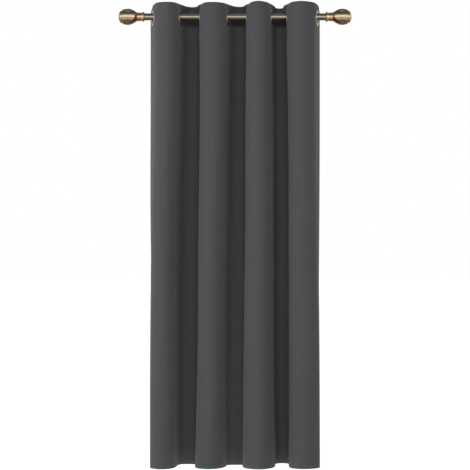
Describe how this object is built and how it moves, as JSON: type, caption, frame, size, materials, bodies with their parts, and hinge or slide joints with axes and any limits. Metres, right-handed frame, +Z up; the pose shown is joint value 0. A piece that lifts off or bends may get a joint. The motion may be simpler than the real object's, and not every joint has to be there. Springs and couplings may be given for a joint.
{
  "type": "eyelet curtain panel",
  "caption": "Charcoal blackout curtain panel with metal eyelets, hanging in soft folds on a telescopic antique-brass pole with ball finials.",
  "frame": {"origin": "on the pole's axis, half way between the two finial collars, where the pole hangs in its wall brackets", "axes": "+Z up, +X along the pole towards the end that extends, -Y out of the curtain's front into the room"},
  "size_m": [0.9232, 0.1827, 1.83],
  "materials": {
    "curtain_cloth": "matte",
    "heading_stiffener": "matte",
    "label_cloth": "matte",
    "eyelet_nickel": "satin",
    "pole_metal": "satin",
    "finial_metal": "satin",
    "collar_metal": "satin",
    "stud_steel": "satin",
    "plug_plastic": "matte"
  },
  "bodies": {
    "pole": {"pole_outer_tube": "pole_metal", "left_finial_collar": "collar_metal", "left_finial_bulb": "finial_metal", "left_finial_tip": "finial_metal", "left_finial_stud": "stud_steel", "left_tube_plug": "plug_plastic"},
    "pole_extension": {"pole_inner_tube": "pole_metal", "right_finial_collar": "collar_metal", "right_finial_bulb": "finial_metal", "right_finial_tip": "finial_metal", "right_finial_stud": "stud_steel", "right_tube_plug": "plug_plastic"},
    "eyelet_1": {"eyelet_front_ring_1": "eyelet_nickel", "eyelet_back_ring_1": "eyelet_nickel", "cloth_left_return": "curtain_cloth", "stiffener_left_return": "heading_stiffener", "care_label": "label_cloth", "cloth_front_fold_1": "curtain_cloth", "stiffener_front_fold_1": "heading_stiffener"},
    "eyelet_2": {"eyelet_front_ring_2": "eyelet_nickel", "eyelet_back_ring_2": "eyelet_nickel", "cloth_back_fold_1": "curtain_cloth", "stiffener_back_fold_1": "heading_stiffener"},
    "eyelet_3": {"eyelet_front_ring_3": "eyelet_nickel", "eyelet_back_ring_3": "eyelet_nickel", "cloth_front_fold_2": "curtain_cloth", "stiffener_front_fold_2": "heading_stiffener"},
    "eyelet_4": {"eyelet_front_ring_4": "eyelet_nickel", "eyelet_back_ring_4": "eyelet_nickel", "cloth_back_fold_2": "curtain_cloth", "stiffener_back_fold_2": "heading_stiffener"},
    "eyelet_5": {"eyelet_front_ring_5": "eyelet_nickel", "eyelet_back_ring_5": "eyelet_nickel", "cloth_front_fold_3": "curtain_cloth", "stiffener_front_fold_3": "heading_stiffener"},
    "eyelet_6": {"eyelet_front_ring_6": "eyelet_nickel", "eyelet_back_ring_6": "eyelet_nickel", "cloth_back_fold_3": "curtain_cloth", "stiffener_back_fold_3": "heading_stiffener"},
    "eyelet_7": {"eyelet_front_ring_7": "eyelet_nickel", "eyelet_back_ring_7": "eyelet_nickel", "cloth_front_fold_4": "curtain_cloth", "stiffener_front_fold_4": "heading_stiffener"},
    "eyelet_8": {"eyelet_front_ring_8": "eyelet_nickel", "eyelet_back_ring_8": "eyelet_nickel", "cloth_right_return": "curtain_cloth", "stiffener_right_return": "heading_stiffener"}
  },
  "joints": [
    {"name": "pole_extend", "type": "slide", "parent": "pole", "child": "pole_extension", "axis": [1, 0, 0], "range_m": [0, 0.5]},
    {"name": "panel_slide", "type": "slide", "parent": "pole", "child": "eyelet_1", "axis": [1, 0, 0], "range_m": [-0.022, 0.022]},
    {"name": "draw", "type": "slide", "parent": "eyelet_1", "child": "eyelet_8", "axis": [1, 0, 0], "range_m": [-0.421, 0], "deforming": ["cloth_front_fold_4", "stiffener_front_fold_4"]},
    {"name": "draw_2", "type": "slide", "parent": "eyelet_1", "child": "eyelet_2", "axis": [1, 0, 0], "range_m": [-0.0692, 0], "deforming": ["cloth_front_fold_1", "stiffener_front_fold_1"]},
    {"name": "draw_3", "type": "slide", "parent": "eyelet_1", "child": "eyelet_3", "axis": [1, 0, 0], "range_m": [-0.1222, 0], "deforming": ["cloth_back_fold_1", "stiffener_back_fold_1"]},
    {"name": "draw_4", "type": "slide", "parent": "eyelet_1", "child": "eyelet_4", "axis": [1, 0, 0], "range_m": [-0.1918, 0], "deforming": ["cloth_front_fold_2", "stiffener_front_fold_2"]},
    {"name": "draw_5", "type": "slide", "parent": "eyelet_1", "child": "eyelet_5", "axis": [1, 0, 0], "range_m": [-0.2424, 0], "deforming": ["cloth_back_fold_2", "stiffener_back_fold_2"]},
    {"name": "draw_6", "type": "slide", "parent": "eyelet_1", "child": "eyelet_6", "axis": [1, 0, 0], "range_m": [-0.304, 0], "deforming": ["cloth_front_fold_3", "stiffener_front_fold_3"]},
    {"name": "draw_7", "type": "slide", "parent": "eyelet_1", "child": "eyelet_7", "axis": [1, 0, 0], "range_m": [-0.3445, 0], "deforming": ["cloth_back_fold_3", "stiffener_back_fold_3"]}
  ],
  "couplings": [
    {"joint": "draw_2", "follows": "draw", "ratio": 0.1641},
    {"joint": "draw_3", "follows": "draw", "ratio": 0.28994},
    {"joint": "draw_4", "follows": "draw", "ratio": 0.45512},
    {"joint": "draw_5", "follows": "draw", "ratio": 0.57542},
    {"joint": "draw_6", "follows": "draw", "ratio": 0.72162},
    {"joint": "draw_7", "follows": "draw", "ratio": 0.81786}
  ]
}
